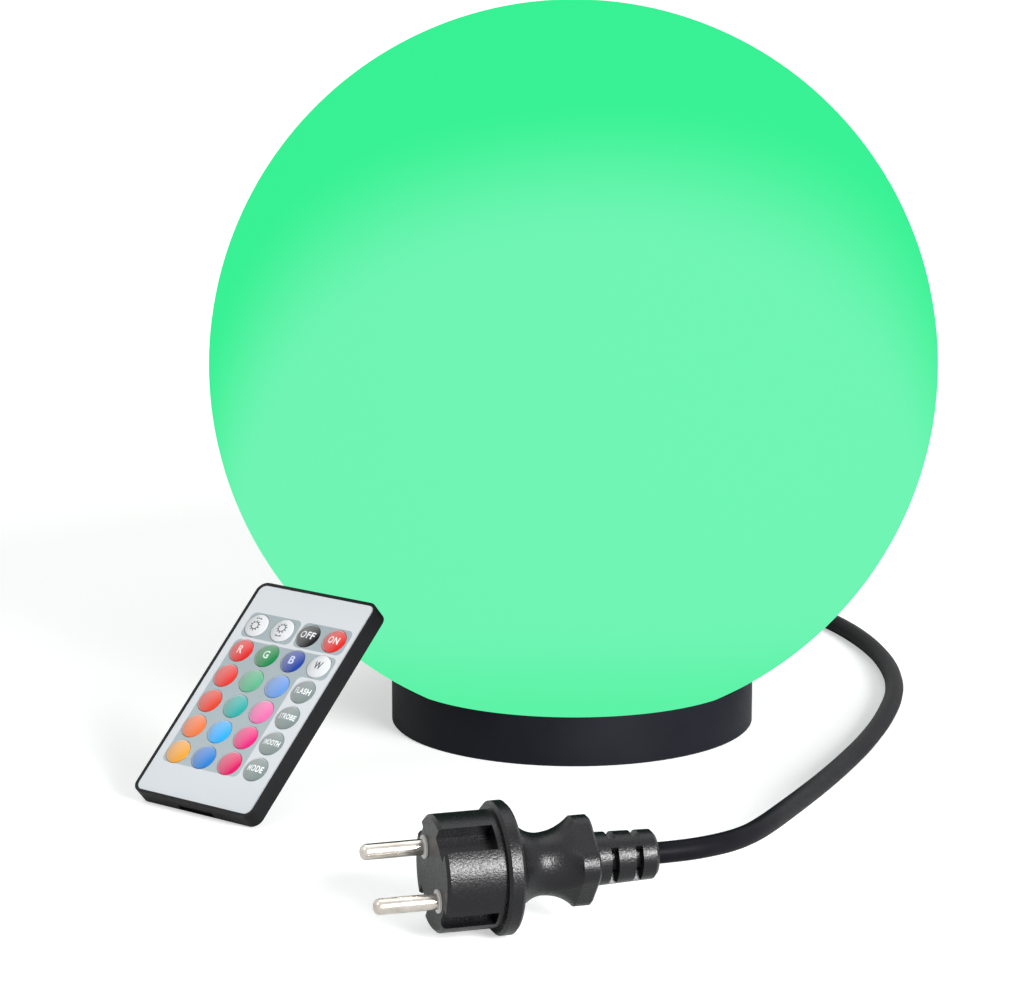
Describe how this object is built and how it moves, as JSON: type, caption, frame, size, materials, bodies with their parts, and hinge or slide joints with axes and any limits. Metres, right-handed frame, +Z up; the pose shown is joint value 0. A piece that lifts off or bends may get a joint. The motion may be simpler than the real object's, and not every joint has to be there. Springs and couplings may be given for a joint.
{
  "type": "garden globe light",
  "caption": "Ball-shaped outdoor light on a low round base, with a mains cord and plug and a flat infrared remote with coloured keys.",
  "frame": {"origin": "middle of the base's underside, on the floor", "axes": "+Z up, -Y towards the front, where the plug lies and the remote leans on the left"},
  "size_m": [0.2669, 0.4643, 0.2505],
  "materials": {
    "diffuser": "translucent white polyethylene lit green from inside",
    "black_plastic": "satin black moulding",
    "steel": "zinc-plated steel",
    "seal_rubber": "black sealing rubber",
    "white_plastic": "white heat-resistant moulding",
    "brass": "bright brass",
    "nickel": "nickel-plated brass",
    "bulb_white": "white moulding",
    "bulb_diffuser": "translucent white moulding lit green",
    "circuit_board": "glass-fibre laminate with solder mask",
    "led": "encapsulated chip",
    "cord_rubber": "black mains cord sheath",
    "plug_rubber": "black moulded rubber with a fine grain",
    "pin_collar": "pale grey moulding",
    "remote_black": "black moulding",
    "remote_face": "silver printed film on a moulded plate",
    "contact_rubber": "pale silicone rubber",
    "emitter": "dark tinted clear moulding",
    "key_brighter": "glossy dome",
    "key_off": "glossy dome",
    "key_on": "glossy dome",
    "key_red": "glossy dome",
    "key_green": "glossy dome",
    "key_blue": "glossy dome",
    "key_white": "glossy dome",
    "key_scarlet": "glossy dome",
    "key_mint": "glossy dome",
    "key_sky": "glossy dome",
    "key_flash": "glossy dome",
    "key_vermilion": "glossy dome",
    "key_teal": "glossy dome",
    "key_pink": "glossy dome",
    "key_orange": "glossy dome",
    "key_azure": "glossy dome",
    "key_rose": "glossy dome",
    "key_amber": "glossy dome",
    "key_cobalt": "glossy dome",
    "key_magenta": "glossy dome"
  },
  "bodies": {
    "base": {"base_housing": "black_plastic", "base_cover": "black_plastic", "cover_screws": "steel", "rim_seal": "seal_rubber", "holder_column": "white_plastic", "column_screws": "steel", "holder_body": "white_plastic", "holder_sleeve": "brass", "holder_contact": "brass", "bulb_cap": "nickel", "bulb_tip": "brass", "bulb_housing": "bulb_white", "bulb_led_board": "white_plastic", "bulb_led_chips": "led", "bulb_dome": "bulb_diffuser", "cord_bush": "seal_rubber", "inner_lead": "cord_rubber", "cord_lead": "cord_rubber", "cord_coil": "cord_rubber", "cord_run": "cord_rubber", "plug_body": "plug_rubber", "pin_collars": "pin_collar", "plug_pin_left": "nickel", "plug_pin_right": "nickel"},
    "globe": {"globe": "diffuser"},
    "remote": {"remote_case": "remote_black", "remote_face_plate": "remote_face", "remote_board": "circuit_board", "remote_contact_mat": "contact_rubber", "remote_emitter": "emitter", "battery_contact": "steel"},
    "battery_tray": {"battery_tray": "remote_black", "coin_cell": "steel"},
    "key_brighter": {"key_brighter": "key_brighter"},
    "key_dimmer": {"key_dimmer": "key_brighter"},
    "key_off": {"key_off": "key_off"},
    "key_on": {"key_on": "key_on"},
    "key_red": {"key_red": "key_red"},
    "key_green": {"key_green": "key_green"},
    "key_blue": {"key_blue": "key_blue"},
    "key_white": {"key_white": "key_white"},
    "key_scarlet": {"key_scarlet": "key_scarlet"},
    "key_mint": {"key_mint": "key_mint"},
    "key_sky": {"key_sky": "key_sky"},
    "key_flash": {"key_flash": "key_flash"},
    "key_vermilion": {"key_vermilion": "key_vermilion"},
    "key_teal": {"key_teal": "key_teal"},
    "key_pink": {"key_pink": "key_pink"},
    "key_strobe": {"key_strobe": "key_flash"},
    "key_orange": {"key_orange": "key_orange"},
    "key_azure": {"key_azure": "key_azure"},
    "key_rose": {"key_rose": "key_rose"},
    "key_smooth": {"key_smooth": "key_flash"},
    "key_amber": {"key_amber": "key_amber"},
    "key_cobalt": {"key_cobalt": "key_cobalt"},
    "key_magenta": {"key_magenta": "key_magenta"},
    "key_mode": {"key_mode": "key_flash"}
  },
  "joints": [
    {"name": "globe_turn", "type": "hinge", "parent": "base", "child": "globe", "pos_m": [0, 0, 0.02], "axis": [0, 0, 1], "range_deg": [0, 30]},
    {"name": "remote_lift", "type": "slide", "parent": "base", "child": "remote", "axis": [-0.412, -0.5273, 0.7431], "range_m": [0, 0.07]},
    {"name": "tray_slide", "type": "slide", "parent": "remote", "child": "battery_tray", "axis": [-0.4575, -0.5856, -0.6691], "range_m": [0, 0.022]},
    {"name": "press_brighter", "type": "slide", "parent": "remote", "child": "key_brighter", "axis": [0.412, 0.5273, -0.7431], "range_m": [0, 0.0004], "stiffness_N_per_m": 180},
    {"name": "press_dimmer", "type": "slide", "parent": "remote", "child": "key_dimmer", "axis": [0.412, 0.5273, -0.7431], "range_m": [0, 0.0004], "stiffness_N_per_m": 180},
    {"name": "press_off", "type": "slide", "parent": "remote", "child": "key_off", "axis": [0.412, 0.5273, -0.7431], "range_m": [0, 0.0004], "stiffness_N_per_m": 180},
    {"name": "press_on", "type": "slide", "parent": "remote", "child": "key_on", "axis": [0.412, 0.5273, -0.7431], "range_m": [0, 0.0004], "stiffness_N_per_m": 180},
    {"name": "press_red", "type": "slide", "parent": "remote", "child": "key_red", "axis": [0.412, 0.5273, -0.7431], "range_m": [0, 0.0004], "stiffness_N_per_m": 180},
    {"name": "press_green", "type": "slide", "parent": "remote", "child": "key_green", "axis": [0.412, 0.5273, -0.7431], "range_m": [0, 0.0004], "stiffness_N_per_m": 180},
    {"name": "press_blue", "type": "slide", "parent": "remote", "child": "key_blue", "axis": [0.412, 0.5273, -0.7431], "range_m": [0, 0.0004], "stiffness_N_per_m": 180},
    {"name": "press_white", "type": "slide", "parent": "remote", "child": "key_white", "axis": [0.412, 0.5273, -0.7431], "range_m": [0, 0.0004], "stiffness_N_per_m": 180},
    {"name": "press_scarlet", "type": "slide", "parent": "remote", "child": "key_scarlet", "axis": [0.412, 0.5273, -0.7431], "range_m": [0, 0.0004], "stiffness_N_per_m": 180},
    {"name": "press_mint", "type": "slide", "parent": "remote", "child": "key_mint", "axis": [0.412, 0.5273, -0.7431], "range_m": [0, 0.0004], "stiffness_N_per_m": 180},
    {"name": "press_sky", "type": "slide", "parent": "remote", "child": "key_sky", "axis": [0.412, 0.5273, -0.7431], "range_m": [0, 0.0004], "stiffness_N_per_m": 180},
    {"name": "press_flash", "type": "slide", "parent": "remote", "child": "key_flash", "axis": [0.412, 0.5273, -0.7431], "range_m": [0, 0.0004], "stiffness_N_per_m": 180},
    {"name": "press_vermilion", "type": "slide", "parent": "remote", "child": "key_vermilion", "axis": [0.412, 0.5273, -0.7431], "range_m": [0, 0.0004], "stiffness_N_per_m": 180},
    {"name": "press_teal", "type": "slide", "parent": "remote", "child": "key_teal", "axis": [0.412, 0.5273, -0.7431], "range_m": [0, 0.0004], "stiffness_N_per_m": 180},
    {"name": "press_pink", "type": "slide", "parent": "remote", "child": "key_pink", "axis": [0.412, 0.5273, -0.7431], "range_m": [0, 0.0004], "stiffness_N_per_m": 180},
    {"name": "press_strobe", "type": "slide", "parent": "remote", "child": "key_strobe", "axis": [0.412, 0.5273, -0.7431], "range_m": [0, 0.0004], "stiffness_N_per_m": 180},
    {"name": "press_orange", "type": "slide", "parent": "remote", "child": "key_orange", "axis": [0.412, 0.5273, -0.7431], "range_m": [0, 0.0004], "stiffness_N_per_m": 180},
    {"name": "press_azure", "type": "slide", "parent": "remote", "child": "key_azure", "axis": [0.412, 0.5273, -0.7431], "range_m": [0, 0.0004], "stiffness_N_per_m": 180},
    {"name": "press_rose", "type": "slide", "parent": "remote", "child": "key_rose", "axis": [0.412, 0.5273, -0.7431], "range_m": [0, 0.0004], "stiffness_N_per_m": 180},
    {"name": "press_smooth", "type": "slide", "parent": "remote", "child": "key_smooth", "axis": [0.412, 0.5273, -0.7431], "range_m": [0, 0.0004], "stiffness_N_per_m": 180},
    {"name": "press_amber", "type": "slide", "parent": "remote", "child": "key_amber", "axis": [0.412, 0.5273, -0.7431], "range_m": [0, 0.0004], "stiffness_N_per_m": 180},
    {"name": "press_cobalt", "type": "slide", "parent": "remote", "child": "key_cobalt", "axis": [0.412, 0.5273, -0.7431], "range_m": [0, 0.0004], "stiffness_N_per_m": 180},
    {"name": "press_magenta", "type": "slide", "parent": "remote", "child": "key_magenta", "axis": [0.412, 0.5273, -0.7431], "range_m": [0, 0.0004], "stiffness_N_per_m": 180},
    {"name": "press_mode", "type": "slide", "parent": "remote", "child": "key_mode", "axis": [0.412, 0.5273, -0.7431], "range_m": [0, 0.0004], "stiffness_N_per_m": 180}
  ]
}
